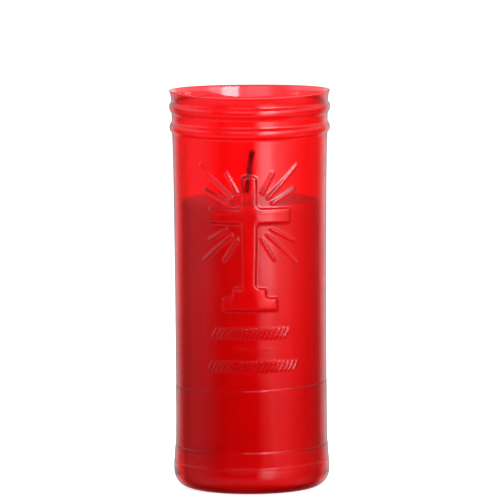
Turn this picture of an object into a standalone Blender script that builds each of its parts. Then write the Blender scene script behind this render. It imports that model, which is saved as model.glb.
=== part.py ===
"""Devotional container lamp: a thin red plastic container with a loose candle inside.

Five separate pieces, each its own closed solid:
  container_shell   container with raised relief, two ring beads and a flared lip
  wax_candle        wax cylinder that stands loose in the container
  wick_sheath       braided cotton of the wick
  wick_core         stiffening thread inside the braid
  wick_sustainer    disc with a neck that holds the wick's foot

Frame: metres, +Z up, origin on the table under the container's axis, relief facing -Y.
The candle with its wick and sustainer lifts out of the mouth along +Z.
All sizes below are in millimetres and are scaled by MM as vertices are made.
"""

import math

import bmesh
import bpy
from mathutils import Matrix, Vector

MM = 0.001
GAP = 0.3                 # running clearance between pieces
SHARP_ANGLE = math.radians(35.0)

# ---------------------------------------------------------------- container sizes
HEIGHT = 175.0            # table to lip
ROUND_STEPS = 48          # facets round the container and the wax
WALL = 0.60               # wall thickness
FLOOR = 0.9               # bottom thickness
PUSH_UP = 1.6             # how far the bottom is pushed up inside the foot ring
PUSH_UP_RUN = 2.5         # radial run of the slope up to the pushed-up middle
FLOOR_TOP = PUSH_UP + FLOOR
FOOT_IN_R = 20.5          # foot ring, inner edge
FOOT_OUT_R = 26.7         # foot ring, outer edge
FOOT_FILLET = 7.2         # round between foot and side
FOOT_FILLET_IN = FOOT_FILLET - FLOOR + 0.1
BULGE_R = 33.95           # widest point of the swelling base
BODY_R = 33.05            # plain wall in the middle of the body
LIP_R = 35.20             # flared lip
LIP_WALL = 0.62           # wall thickness at the lip
LIP_ROOT = (34.50, 173.4)  # radius, height where the lip starts to flare
VALLEY = (34.10, 164.2)   # radius, height of the groove between the beads
BEAD_LOW_Z = 159.6
BEAD_TOP_Z = 168.3
# ring beads: middle height, half height, radius at the edges, radius at the crest
BEAD_LOW = (BEAD_LOW_Z, 3.1, 34.05, 35.10)
BEAD_TOP = (BEAD_TOP_Z, 2.7, 34.25, 35.15)
BEAD_STEPS = 6
BEAD_POWER = 1.2          # above 1 narrows the bead towards its crest

# plain outer wall, upwards from the foot fillet: (height, radius)
WALL_LINE = (
    (FOOT_FILLET, FOOT_OUT_R + FOOT_FILLET), (9.8, BULGE_R), (13.4, 33.70), (18.9, 33.30),
    (19.6, 33.00), (45.5, BODY_R), (46.1, 32.90), (82.6, BODY_R), (109.3, 33.23),
    (127.0, 33.36), (144.8, 33.63), (149.2, 33.76),
)
# inner wall, upwards: (radius, height)
INNER_LOW = ((BULGE_R - WALL, 10.0), (32.55, 19.4), (32.25, 46.0))
INNER_PLAIN_Z = (82.6, 127.0, 149.2)     # heights where it is one WALL inside the outer wall
INNER_TOP = (
    (33.40, 156.3), (34.30, BEAD_LOW_Z), (33.50, 163.9), (34.35, BEAD_TOP_Z), (33.85, 173.2),
)

# ---------------------------------------------------------------- relief sizes
# The relief is a flat pattern: distance along the arc from the front (+X way), and height.
RELIEF_PROUD = 0.85       # how far the relief stands off the wall
RELIEF_ROOT = 0.28        # how far it is rooted in the wall
FACET = 2 * math.pi * BODY_R / ROUND_STEPS   # arc length of one wall facet
FACET_REACH = 8           # facets cut into the relief, either side of the front
CUT_TOLERANCE = 1e-6

CROSS_MID = -0.35         # relief centre line, along the arc
CROSS_Z = 123.25          # height of the crossing
CROSS_TOP_Z = 141.0
BAR_HALF = 3.45
BAR_FOOT_HALF = 3.15
ARM_HALF = 3.6
ARM_REACH = 18.55
STEP1_TOP_Z = 91.7        # upper pedestal step
STEP1_HALF = 7.45
STEP2_TOP_Z = 87.6        # lower pedestal step
STEP2_HALF = 12.35
STEP2_BOTTOM_Z = 81.3
# slanted corners of the cross
STEP_CORNER = 0.8         # between the two steps
BAR_CORNER = 1.2          # between upright and upper step
CROSSING_CORNER = 1.4     # between upright and arms
ARM_CORNER = 0.9          # at the arm ends
TOP_CORNER_IN = 1.6       # at the top, inwards
TOP_CORNER_LOW = 1.8      # lower end of the slant, below the top
TOP_CORNER_HIGH = 0.3     # upper end of the slant, below the top

RAY_HALF = 0.72
RAY_POINT = 0.35          # length of a ray's blunt point
# one side's rays, from the crossing: (along, height) of the inner end, then of the outer end
RAYS = (
    ((5.5, 10.1), (10.2, 18.5)),
    ((8.0, 8.25), (22.3, 21.85)),
    ((9.85, 5.7), (20.4, 11.25)),
    ((9.9, -5.9), (19.3, -11.1)),
    ((7.9, -8.35), (21.7, -20.8)),
    ((5.45, -10.35), (11.0, -19.0)),
)

# cable ornament: height, strands, shift of the row's middle in half strand steps
CABLE_ROWS = ((71.6, 16, 0), (57.0, 19, 1))
STRAND_STEP = FACET / 2
STRAND_HALF_W = 0.5
STRAND_HALF_H = 2.6
STRAND_LEAN = 1.1         # sideways reach of a strand either side of its middle
STRAND_STATIONS = (-1.0, -0.45, 0.45, 1.0)   # as parts of the half height

# ---------------------------------------------------------------- candle sizes
STAND_Z = FLOOR_TOP + GAP  # underside of wax and disc

WAX_R = 30.25
WAX_TOP_Z = 127.4
WAX_EDGE = 1.3            # rounded top edge
WAX_RIM_Z = WAX_TOP_Z - 0.1
WAX_FOOT = ((WAX_R, 3.0), (WAX_R - 0.9, 0.9), (26.4, 0.0))  # radius, height above STAND_Z
MOUND_H = 3.3             # wax drawn up round the wick
MOUND_R = 6.5
MOUND_STEPS = 4
RECESS_SLOPE_R = 1.2      # start of the slope from disc recess to neck recess, off the neck
RECESS_SLOPE_H = 0.9
CHANNEL_OVERRUN = 3.0     # wick channel's cutter, past the wax at either end

WICK_R = 1.10
WICK_BORE_R = 0.50
CORE_R = 0.25
WICK_FOOT_Z = 3.1
WICK_TOP_Z = 149.0
CORE_TOP_Z = 149.3
WICK_STEPS = 12
CORE_STEPS = 8
# course of the wick, in the XZ plane
LEAN_START_Z = 14.0       # straight below this
WICK_ROOT_Z = 127.0       # where it turns back
WICK_ROOT_X = -1.75
WICK_TIP_X = 1.15
TIP_LINEAR = 0.25         # straight share of the upper course, the rest curves
TIP_POWER = 1.5
# heights of the rings between the wick's ends
WICK_RINGS_Z = (
    14.0, 28.0, 42.0, 56.0, 70.0, 84.0, 98.0, 112.0,
    122.0, 127.0, 131.0, 135.0, 139.0, 143.0, 146.5,
)
RING_MARGIN = 1.0         # least distance from a ring to an end
SLOPE_REACH = 0.5         # the slope is taken over this much either way

DISC_R = 10.0
DISC_T = 0.35
DISC_STEPS = 24
RIDGE_H = 0.22            # ring ridge pressed up in the disc
RIDGE_TOP_R = (6.0, 6.6, 7.4, 8.0)     # foot, crest, crest, foot on the upper face
RIDGE_UNDER_R = (5.9, 6.5, 7.5, 8.1)   # the same on the underside
NECK_OUT_R = 1.95
NECK_IN_R = 1.42
NECK_TOP_Z = 11.0
NECK_BEVEL_R = 0.15       # outer edge of the neck's mouth
NECK_BEVEL_H = 0.4
NECK_FLARE = 0.7          # slope between neck and disc
NECK_MOUTH_H = 0.6        # slope inside the neck's foot


# ---------------------------------------------------------------- helpers
def material(name, colour, roughness, metallic=0.0, alpha=1.0):
    mat = bpy.data.materials.new(name)
    mat.use_nodes = True
    inputs = mat.node_tree.nodes["Principled BSDF"].inputs
    inputs["Base Color"].default_value = (*colour, 1.0)
    inputs["Roughness"].default_value = roughness
    inputs["Metallic"].default_value = metallic
    inputs["Alpha"].default_value = alpha
    mat.diffuse_color = (*colour, alpha)
    return mat


def add_object(name, form, mat=None):
    """Turn the bmesh into an object and free it."""
    mesh = bpy.data.meshes.new(name)
    form.to_mesh(mesh)
    form.free()
    obj = bpy.data.objects.new(name, mesh)
    bpy.context.scene.collection.objects.link(obj)
    if mat is not None:
        mesh.materials.append(mat)
    return obj


def shade(obj):
    obj.data.shade_smooth()
    obj.data.set_sharp_from_angle(angle=SHARP_ANGLE)


def turned(name, profile, mat, closed=False, steps=ROUND_STEPS):
    """A profile of (radius, height), swept round Z by a Screw modifier.

    The profile runs down its outer side, top to bottom."""
    form = bmesh.new()
    verts = [form.verts.new((radius * MM, 0.0, z * MM)) for radius, z in profile]
    for start, end in zip(verts, verts[1:]):
        form.edges.new((start, end))
    if closed:
        form.edges.new((verts[-1], verts[0]))
    obj = add_object(name, form, mat)
    screw = obj.modifiers.new("turn", "SCREW")
    screw.axis = "Z"
    screw.angle = 2 * math.pi
    screw.steps = steps
    screw.render_steps = steps
    screw.screw_offset = 0.0
    screw.use_merge_vertices = True
    screw.merge_threshold = 0.00001
    screw.use_smooth_shade = True
    return obj


def boolean(obj, helper, operation):
    """Join or cut with a helper object, which is kept out of renders."""
    helper.hide_render = True
    helper.display_type = "WIRE"
    modifier = obj.modifiers.new(helper.name, "BOOLEAN")
    modifier.operation = operation
    modifier.solver = "EXACT"
    modifier.object = helper


def arc(centre_r, centre_z, radius, start_deg, end_deg, steps):
    """Profile points of an arc, after its start point."""
    points = []
    for i in range(1, steps + 1):
        angle = math.radians(start_deg + (end_deg - start_deg) * i / steps)
        points.append((centre_r + radius * math.cos(angle), centre_z + radius * math.sin(angle)))
    return points


# ---------------------------------------------------------------- container shell
def bead(mid_z, half, edge_r, crest_r):
    """Points over a rounded ring bead, from its top edge down to its bottom edge."""
    points = []
    for i in range(BEAD_STEPS + 1):
        part = 1.0 - 2.0 * i / BEAD_STEPS
        swell = math.cos(part * math.pi / 2) ** BEAD_POWER
        points.append((edge_r + (crest_r - edge_r) * swell, mid_z + half * part))
    return points


def wall_radius(z):
    """Radius of the plain outer wall at height z, straight between stations."""
    for (low_z, low_r), (high_z, high_r) in zip(WALL_LINE, WALL_LINE[1:]):
        if z <= high_z:
            return low_r + (high_r - low_r) * (z - low_z) / (high_z - low_z)
    return WALL_LINE[-1][1]


def outer_profile():
    """Outer side from the lip down to the middle of the underside."""
    return [
        (LIP_R, HEIGHT), LIP_ROOT,
        *bead(*BEAD_TOP),
        VALLEY,
        *bead(*BEAD_LOW),
        *((radius, z) for z, radius in reversed(WALL_LINE)),
        *arc(FOOT_OUT_R, FOOT_FILLET, FOOT_FILLET, 0.0, -90.0, 6),
        (FOOT_IN_R, 0.0), (FOOT_IN_R - PUSH_UP_RUN, PUSH_UP), (0.0, PUSH_UP),
    ]


def inner_profile():
    """Inner side from the middle of the floor up to the lip."""
    return [
        (0.0, FLOOR_TOP), (FOOT_IN_R - 2.4, FLOOR_TOP), (FOOT_IN_R + 0.4, FLOOR),
        (FOOT_OUT_R, FLOOR),
        *arc(FOOT_OUT_R, FOOT_FILLET, FOOT_FILLET_IN, -90.0, 0.0, 4),
        *INNER_LOW,
        *((wall_radius(z) - WALL, z) for z in INNER_PLAIN_Z),
        *INNER_TOP,
        (LIP_R - LIP_WALL, HEIGHT),
    ]


def bend(along, z, proud):
    """A point of the relief's flat pattern, laid round the wall and stood proud of it."""
    radius = wall_radius(z) + proud
    angle = along / BODY_R
    return Vector((radius * math.sin(angle) * MM, -radius * math.cos(angle) * MM, z * MM))


def cut(flat, place, normal):
    bmesh.ops.bisect_plane(
        flat, geom=flat.verts[:] + flat.edges[:] + flat.faces[:],
        plane_co=place, plane_no=normal, dist=CUT_TOLERANCE,
    )


def relief_block(form, outline, narrow=False):
    """Thicken an outline of (along, z) and lay it round the wall.

    It is cut at the wall's stations, and at its facets unless it is narrow."""
    flat = bmesh.new()
    flat.faces.new([flat.verts.new((along, 0.0, z)) for along, z in outline])
    if not narrow:
        for i in range(-FACET_REACH, FACET_REACH + 1):
            cut(flat, (i * FACET, 0, 0), (1, 0, 0))
    for z, _ in WALL_LINE:
        cut(flat, (0, 0, z), (0, 0, 1))
    flat.verts.index_update()
    root = [form.verts.new(bend(v.co.x, v.co.z, -RELIEF_ROOT)) for v in flat.verts]
    front = [form.verts.new(bend(v.co.x, v.co.z, RELIEF_PROUD)) for v in flat.verts]
    for face in flat.faces:
        ring = [v.index for v in face.verts]
        form.faces.new([front[i] for i in ring])
        form.faces.new([root[i] for i in reversed(ring)])
    for edge in flat.edges:
        if len(edge.link_faces) == 1:
            loop = edge.link_loops[0]
            start, end = loop.vert.index, loop.link_loop_next.vert.index
            form.faces.new([root[start], root[end], front[end], front[start]])
    flat.free()


def cross_outline():
    """Latin cross on a two-step pedestal, anticlockwise from its lower right corner."""
    arm_low, arm_high = CROSS_Z - ARM_HALF, CROSS_Z + ARM_HALF
    right = [
        (STEP2_HALF, STEP2_BOTTOM_Z), (STEP2_HALF, STEP2_TOP_Z),
        (STEP1_HALF + STEP_CORNER, STEP2_TOP_Z), (STEP1_HALF, STEP2_TOP_Z + STEP_CORNER),
        (STEP1_HALF, STEP1_TOP_Z),
        (BAR_FOOT_HALF + BAR_CORNER, STEP1_TOP_Z), (BAR_FOOT_HALF, STEP1_TOP_Z + BAR_CORNER),
        (BAR_HALF, arm_low - CROSSING_CORNER), (BAR_HALF + CROSSING_CORNER, arm_low),
        (ARM_REACH - ARM_CORNER, arm_low), (ARM_REACH, arm_low + ARM_CORNER),
        (ARM_REACH, arm_high - ARM_CORNER), (ARM_REACH - ARM_CORNER, arm_high),
        (BAR_HALF + CROSSING_CORNER, arm_high), (BAR_HALF, arm_high + CROSSING_CORNER),
        (BAR_HALF, CROSS_TOP_Z - TOP_CORNER_LOW),
        (BAR_HALF - TOP_CORNER_IN, CROSS_TOP_Z - TOP_CORNER_HIGH),
    ]
    left = [(-along, z) for along, z in reversed(right)]
    return [(CROSS_MID + along, z) for along, z in right + [(0.0, CROSS_TOP_Z)] + left]


def ray_outline(inner, outer, side):
    """A slim ridge with bluntly pointed ends, anticlockwise."""
    start = Vector((CROSS_MID + side * inner[0], CROSS_Z + inner[1]))
    end = Vector((CROSS_MID + side * outer[0], CROSS_Z + outer[1]))
    forward = (end - start).normalized()
    across = Vector((-forward.y, forward.x)) * RAY_HALF
    point = forward * RAY_POINT
    corners = (
        start - across + point, end - across - point, end,
        end + across - point, start + across + point, start,
    )
    return [tuple(corner) for corner in corners]


def strand_outline(mid, mid_z):
    """One leaning, gently S-shaped strand, anticlockwise from its lower right corner."""
    line = [
        (mid + STRAND_LEAN * math.sin(part * math.pi / 2), mid_z + part * STRAND_HALF_H)
        for part in STRAND_STATIONS
    ]
    right = [(along + STRAND_HALF_W, z) for along, z in line]
    left = [(along - STRAND_HALF_W, z) for along, z in reversed(line)]
    return right + left


def build_relief():
    form = bmesh.new()
    relief_block(form, cross_outline())
    for side in (1, -1):
        for inner, outer in RAYS:
            relief_block(form, ray_outline(inner, outer, side))
    for z, count, shift in CABLE_ROWS:
        for i in range(count):
            mid = (i - (count - 1) / 2 + shift / 2) * STRAND_STEP
            relief_block(form, strand_outline(mid, z), narrow=True)
    bmesh.ops.recalc_face_normals(form, faces=form.faces[:])
    return add_object("relief_form", form)


def build_container():
    plastic = material(
        "red_clear_plastic", colour=(0.72, 0.02, 0.02), roughness=0.12, alpha=0.55)
    shell = turned("container_shell", inner_profile() + outer_profile(), plastic)
    boolean(shell, build_relief(), "UNION")
    shade(shell)


# ---------------------------------------------------------------- wick
def wick_x(z):
    """Wick's X at height z: leans to -X up to the wax top, then back to a tip at +X."""
    if z <= WICK_ROOT_Z:
        part = max(0.0, (z - LEAN_START_Z) / (WICK_ROOT_Z - LEAN_START_Z))
        return WICK_ROOT_X * part * part * (3 - 2 * part)
    part = (z - WICK_ROOT_Z) / (WICK_TOP_Z - WICK_ROOT_Z)
    share = TIP_LINEAR * part + (1 - TIP_LINEAR) * part ** TIP_POWER
    return WICK_ROOT_X + (WICK_TIP_X - WICK_ROOT_X) * share


def swept(name, radius, bottom, top, mat=None, bore=None, steps=WICK_STEPS):
    """A round cord that follows the wick's line, with a bore where its radius is given."""
    form = bmesh.new()

    def ring(z, ring_r):
        slope = 0.0
        if bottom + SLOPE_REACH < z < top - SLOPE_REACH:
            rise = 2 * SLOPE_REACH
            slope = (wick_x(z + SLOPE_REACH) - wick_x(z - SLOPE_REACH)) / rise
        tilt = Matrix.Rotation(math.atan(slope), 4, "Y")
        place = Matrix.Translation((wick_x(z) * MM, 0.0, z * MM)) @ tilt
        verts = []
        for i in range(steps):
            angle = 2 * math.pi * i / steps
            rim = Vector((ring_r * MM * math.cos(angle), ring_r * MM * math.sin(angle), 0.0))
            verts.append(form.verts.new(place @ rim))
        return verts

    def skin(low, high):
        for i in range(steps):
            j = (i + 1) % steps
            form.faces.new([low[i], low[j], high[j], high[i]])

    between = [z for z in WICK_RINGS_Z if bottom + RING_MARGIN < z < top - RING_MARGIN]
    levels = [bottom, *between, top]
    outer = [ring(z, radius) for z in levels]
    for low, high in zip(outer, outer[1:]):
        skin(low, high)
    if bore is None:
        form.faces.new(outer[0][::-1])
        form.faces.new(outer[-1])
    else:
        inner = [ring(z, bore) for z in levels]
        # taken downwards, so that the bore's faces look at the axis
        for low, high in zip(inner, inner[1:]):
            skin(high, low)
        skin(inner[0], outer[0])
        skin(outer[-1], inner[-1])
    return add_object(name, form, mat)


def build_wick_sheath():
    cotton = material("wick_cotton", colour=(0.055, 0.045, 0.04), roughness=0.95)
    sheath = swept("wick_sheath", WICK_R, WICK_FOOT_Z, WICK_TOP_Z, cotton, bore=WICK_BORE_R)
    shade(sheath)
    return sheath


def build_wick_core():
    thread = material("core_thread", colour=(0.62, 0.58, 0.50), roughness=0.85)
    core = swept("wick_core", CORE_R, WICK_FOOT_Z, CORE_TOP_Z, thread, steps=CORE_STEPS)
    shade(core)
    return core


# ---------------------------------------------------------------- sustainer
def build_sustainer():
    tin = material("tinplate", colour=(0.62, 0.61, 0.58), roughness=0.32, metallic=1.0)
    under, top = STAND_Z, STAND_Z + DISC_T
    ridge = (0.0, RIDGE_H, RIDGE_H, 0.0)
    profile = [
        (NECK_IN_R, NECK_TOP_Z), (NECK_OUT_R - NECK_BEVEL_R, NECK_TOP_Z),
        (NECK_OUT_R, NECK_TOP_Z - NECK_BEVEL_H),
        (NECK_OUT_R, top + NECK_FLARE), (NECK_OUT_R + NECK_FLARE, top),
        *((radius, top + rise) for radius, rise in zip(RIDGE_TOP_R, ridge)),
        (DISC_R, top), (DISC_R, under),
        *((radius, under + rise) for radius, rise in zip(reversed(RIDGE_UNDER_R), ridge)),
        (NECK_OUT_R, under), (NECK_IN_R, under + NECK_MOUTH_H),
    ]
    disc = turned("wick_sustainer", profile, tin, closed=True, steps=DISC_STEPS)
    shade(disc)
    return disc


# ---------------------------------------------------------------- wax
def wax_profile():
    """From the mound's top over the side to the roof of the neck recess."""
    mound = []
    for i in range(MOUND_STEPS + 1):
        part = i / MOUND_STEPS
        rise = MOUND_H * 0.5 * (1 + math.cos(math.pi * part))
        mound.append((MOUND_R * part, WAX_TOP_Z + rise))
    edge_r = WAX_R - WAX_EDGE
    disc_roof = STAND_Z + DISC_T + RIDGE_H + GAP
    neck_roof = NECK_TOP_Z + GAP
    return [
        *mound,
        (edge_r, WAX_RIM_Z),
        *arc(edge_r, WAX_RIM_Z - WAX_EDGE, WAX_EDGE, 90.0, 0.0, 3),
        *((radius, STAND_Z + rise) for radius, rise in WAX_FOOT),
        # recess that clears the sustainer's disc and neck
        (DISC_R + GAP, STAND_Z), (DISC_R + GAP, disc_roof),
        (NECK_OUT_R + RECESS_SLOPE_R, disc_roof),
        (NECK_OUT_R + GAP, disc_roof + RECESS_SLOPE_H),
        (NECK_OUT_R + GAP, neck_roof), (0.0, neck_roof),
    ]


def build_wax():
    wax = material("wax", colour=(0.86, 0.80, 0.70), roughness=0.45)
    body = turned("wax_candle", wax_profile(), wax)
    channel = swept(
        "channel_form", WICK_R + GAP,
        NECK_TOP_Z - CHANNEL_OVERRUN, WAX_TOP_Z + MOUND_H + CHANNEL_OVERRUN,
    )
    boolean(body, channel, "DIFFERENCE")
    shade(body)
    return body


# ---------------------------------------------------------------- assembly
for old in list(bpy.data.objects):
    bpy.data.objects.remove(old, do_unlink=True)

build_container()
candle_pieces = (build_wax(), build_wick_sheath(), build_wick_core(), build_sustainer())

# the candle's pieces hang on one empty, to lift straight up out of the mouth
lift = bpy.data.objects.new("candle_lift_axis", None)
bpy.context.scene.collection.objects.link(lift)
for piece in candle_pieces:
    piece.parent = lift
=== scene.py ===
"""A candle in a container of clear red plastic, with a cross, rays and strand rows in relief.

The container stands on z = 0 with its axis on Z. Its front, with the relief, faces -Y, and
its right side is +X. Shapes are given in mm and scaled to metres where meshes are made;
materials, lights and camera are in metres.
"""
import math

import bpy
import numpy as np
from mathutils import Matrix, Vector


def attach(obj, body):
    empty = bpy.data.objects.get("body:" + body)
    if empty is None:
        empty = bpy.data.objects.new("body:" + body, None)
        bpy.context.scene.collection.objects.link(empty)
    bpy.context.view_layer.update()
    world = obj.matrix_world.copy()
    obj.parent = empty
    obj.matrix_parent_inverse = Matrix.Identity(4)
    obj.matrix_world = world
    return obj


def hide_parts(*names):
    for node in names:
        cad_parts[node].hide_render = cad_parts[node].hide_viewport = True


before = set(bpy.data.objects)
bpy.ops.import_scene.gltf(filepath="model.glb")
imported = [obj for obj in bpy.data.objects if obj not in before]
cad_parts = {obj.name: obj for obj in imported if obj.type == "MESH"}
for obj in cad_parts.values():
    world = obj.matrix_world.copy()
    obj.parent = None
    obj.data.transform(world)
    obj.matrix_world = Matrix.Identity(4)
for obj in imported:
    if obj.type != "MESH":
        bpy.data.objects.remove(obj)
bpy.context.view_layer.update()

MM = 0.001


# =====================================================================================
# shape helpers
# =====================================================================================


def smooth01(t):
    """0 below t = 0, 1 above t = 1, level at both."""
    t = np.clip(t, 0.0, 1.0)
    return t * t * (3.0 - 2.0 * t)


def hump(t):
    """1 at t = 0, 0 at |t| = 1 and beyond, level at both."""
    t = np.clip(np.abs(t), 0.0, 1.0)
    return 0.5 * (1.0 + np.cos(math.pi * t))


def spaced(start, end, step):
    """Even stations from start up to, not including, end, no further apart than step."""
    count = max(1, int(math.ceil(abs(end - start) / step)))
    return list(np.linspace(start, end, count + 1)[:-1])


def polar(radius, angles, z):
    """Points round the Z axis; angles run from the front (-Y) towards the right (+X)."""
    heights = np.broadcast_to(z, angles.shape)
    return np.stack([radius * np.sin(angles), -radius * np.cos(angles), heights], -1)


def arc(centre, reach, degrees):
    """(radius, z) points on an elliptical arc; 0 degrees points outwards, 90 up."""
    return [
        (centre[0] + reach[0] * math.cos(a), centre[1] + reach[1] * math.sin(a))
        for a in np.radians(degrees)
    ]


# =====================================================================================
# mesh helpers: a solid is (verts, [faces]), each faces array of one polygon size
# =====================================================================================


def ring_faces(ring_count, column_count, closed):
    """Quads between successive rings, which run down the outer side of the solid."""
    last = ring_count if closed else ring_count - 1
    i = np.repeat(np.arange(last), column_count)
    j = np.tile(np.arange(column_count), last)
    row, next_row = i * column_count, (i + 1) % ring_count * column_count
    next_j = (j + 1) % column_count
    return np.stack([row + j, next_row + j, next_row + next_j, row + next_j], 1)


def ring_solid(rings, poles=None):
    """A solid from rings (rings, columns, 3), closed on itself or ended by two centre points."""
    ring_count, column_count, _ = rings.shape
    verts = [rings.reshape(-1, 3)]
    faces = [ring_faces(ring_count, column_count, closed=poles is None)]
    if poles is not None:
        verts.append(np.asarray(poles, float))
        pole = ring_count * column_count
        last = pole - column_count
        j = np.arange(column_count)
        next_j = (j + 1) % column_count
        faces.append(np.stack([np.full(column_count, pole), j, next_j], 1))
        faces.append(np.stack([last + j, np.full(column_count, pole + 1), last + next_j], 1))
    return np.concatenate(verts), faces


def mesh_object(name, solids, material):
    """One smooth-shaded object of one or more solids."""
    all_verts, all_faces, base = [], [], 0
    for verts, faces in solids:
        all_verts.append(verts)
        all_faces += [f + base for f in faces]
        base += len(verts)
    verts = np.concatenate(all_verts) * MM
    loops = np.concatenate([f.ravel() for f in all_faces]).astype(np.int32)
    sizes = np.concatenate([np.full(len(f), f.shape[1], np.int32) for f in all_faces])
    starts = np.concatenate([[0], np.cumsum(sizes)[:-1]]).astype(np.int32)
    mesh = bpy.data.meshes.new(name)
    mesh.vertices.add(len(verts))
    mesh.vertices.foreach_set("co", verts.astype(np.float32).ravel())
    mesh.loops.add(len(loops))
    mesh.loops.foreach_set("vertex_index", loops)
    mesh.polygons.add(len(sizes))
    mesh.polygons.foreach_set("loop_start", starts)
    mesh.polygons.foreach_set("loop_total", sizes)
    mesh.update(calc_edges=True)
    mesh.validate()
    mesh.shade_smooth()
    obj = bpy.data.objects.new(name, mesh)
    bpy.context.scene.collection.objects.link(obj)
    mesh.materials.append(material)
    return obj


def tube(path, radius, sides):
    """A capped tube along path (n, 3), radius a number or one per point."""
    radius = np.broadcast_to(np.asarray(radius, float), (len(path),))
    tangents = np.gradient(path, axis=0)
    tangents /= np.linalg.norm(tangents, axis=1)[:, None]
    # carry one cross direction along the path so that the tube does not twist
    normals = np.zeros_like(path)
    normal = np.array([0.0, 1.0, 0.0])
    for i, tangent in enumerate(tangents):
        normal = normal - (normal @ tangent) * tangent
        normal = normal / np.linalg.norm(normal)
        normals[i] = normal
    sideways = np.cross(tangents, normals)
    turn = -np.linspace(0, 2 * math.pi, sides, endpoint=False)[None, :, None]
    spokes = np.cos(turn) * normals[:, None, :] + np.sin(turn) * sideways[:, None, :]
    rings = path[:, None, :] + radius[:, None, None] * spokes
    return ring_solid(rings, poles=(path[0], path[-1]))


# =====================================================================================
# container: wall
# =====================================================================================
BODY_R = 33.05           # radius at which the relief is laid out
WALL = 0.55
LIP_Z = 175.0
LOW_BEAD_Z = 159.42
HIGH_BEAD_Z = 168.30
BEAD_TILT = 0.40         # the beads are this much lower at the front, and higher at the back

# outer wall without beads and witness lines: (height, radius)
WALL_PROFILE = np.array([
    (7.2, 34.18), (9.6, 34.22), (11.2, 34.12), (13.4, 33.90), (16.0, 33.66), (19.0, 33.44),
    (24.0, 33.28), (34.0, 33.22), (45.0, 33.20), (60.0, 33.23), (82.6, 33.28), (109.3, 33.44),
    (127.0, 33.56), (135.9, 33.67), (144.8, 33.82), (149.2, 33.91), (152.5, 34.00),
    (156.0, 34.12), (160.0, 34.20), (164.0, 34.26), (168.0, 34.32), (171.0, 34.46),
    (172.6, 34.58), (173.8, 34.90), (175.0, 35.46), (176.5, 35.80),
])


def smoothed_profile():
    """The wall profile sampled every 0.1 mm, its corners rounded by a 2 mm window."""
    heights = np.linspace(6.0, 176.0, 1701)
    radii = np.interp(heights, WALL_PROFILE[:, 0], WALL_PROFILE[:, 1])
    window = np.hanning(21)
    window /= window.sum()
    return heights, np.convolve(np.pad(radii, 10, mode="edge"), window, mode="valid")


SMOOTH_Z, SMOOTH_R = smoothed_profile()


def wall_radius(z):
    return np.interp(z, SMOOTH_Z, SMOOTH_R)


def beads(z, theta, upper_share=1.0):
    """The two ring beads under the rim, broad-topped, with close corners."""
    low = LOW_BEAD_Z - BEAD_TILT * np.cos(theta)
    high = HIGH_BEAD_Z - BEAD_TILT * np.cos(theta)
    lower = 1.06 * hump(np.abs((z - low) / 2.90) ** 1.6)
    upper = 1.02 * hump(np.abs((z - high) / np.where(z < high, 3.15, 2.80)) ** 1.6)
    return lower + upper_share * upper


def witness_heights(theta):
    """Heights of the two mould-insert witness lines, which run slightly out of level."""
    high = 46.2 + 1.1 * np.sin(theta)
    low = 19.15 + 0.35 * np.sin(theta) - 0.2 * np.cos(theta)
    return high, low


def witness_steps(z, theta):
    """The wall stands a little proud below each line, with a fine bead of flash at the line."""
    high, low = witness_heights(theta)
    out = 0.10 * smooth01((high - z) / 0.35 + 0.5) + 0.025 * hump((z - high + 0.25) / 0.45)
    out += 0.13 * smooth01((low - z) / 0.35 + 0.5) + 0.025 * hump((z - low + 0.25) / 0.45)
    out -= 0.16 * smooth01((low - 1.5 - z) / 7.0)     # eases back so that the foot keeps its size
    out += 0.09 * hump((z - 11.6 - 0.5 * np.sin(theta)) / 0.75)     # low bead above the foot
    return out


def waviness(z, theta):
    """Very slight unevenness of a blown wall, none at the foot and the lip."""
    wave = 0.020 * np.sin(3 * theta + 0.05 * z + 0.7)
    wave += 0.016 * np.sin(5 * theta - 0.083 * z + 2.1)
    wave += 0.011 * np.sin(9 * theta + 0.031 * z + 0.4) * np.sin(0.11 * z + 1.3)
    wave += 0.008 * np.sin(14 * theta - 0.17 * z) + 0.006 * np.sin(0.43 * z + 2 * theta)
    return wave * smooth01((z - 8.0) / 10.0) * smooth01((173.0 - z) / 6.0)


def seam_ridge(theta):
    """Mould parting lines down both sides."""
    return 0.07 * hump((np.abs(theta) - math.pi / 2) / math.radians(0.6))


def lip_rise(theta, z):
    """The trimmed lip stands a little higher at the sides than at the front and back."""
    return 0.32 * (1.0 - np.cos(2 * theta)) * smooth01((z - 171.5) / 3.0)


# =====================================================================================
# container: raised relief, as a height over (u, z), u the arc length from the front
# =====================================================================================
CROSS_U = -0.4

# rays round the crossing: (u, z) of the inner end and the outer end
RAYS = (
    (5.3, 133.3, 9.8, 141.9), (7.8, 131.3, 21.4, 145.1), (9.5, 128.7, 19.9, 134.7),
    (-5.6, 133.6, -10.2, 141.9), (-8.2, 131.5, -22.8, 145.2), (-10.0, 129.0, -20.5, 134.4),
    (5.1, 112.7, 10.3, 104.2), (7.5, 114.9, 21.4, 101.7), (9.1, 117.4, 19.7, 111.9),
    (-5.7, 113.0, -11.5, 104.1), (-8.2, 114.8, -21.7, 103.2), (-10.8, 117.1, -18.6, 112.4),
)

# rows of leaning strands: height, strands, shift of the middle in half strand steps
CABLES = ((71.6, 16, 0), (57.0, 19, 1))
STRAND_STEP = 2 * math.pi * BODY_R / 96


def box_inside(u, z, centre, half_size, corner):
    """How far inside a rounded rectangle a point is (mm, negative outside)."""
    over_u = np.abs(u - centre[0]) - half_size[0] + corner
    over_z = np.abs(z - centre[1]) - half_size[1] + corner
    beyond = np.hypot(np.maximum(over_u, 0), np.maximum(over_z, 0))
    return -(beyond + np.minimum(np.maximum(over_u, over_z), 0) - corner)


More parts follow.
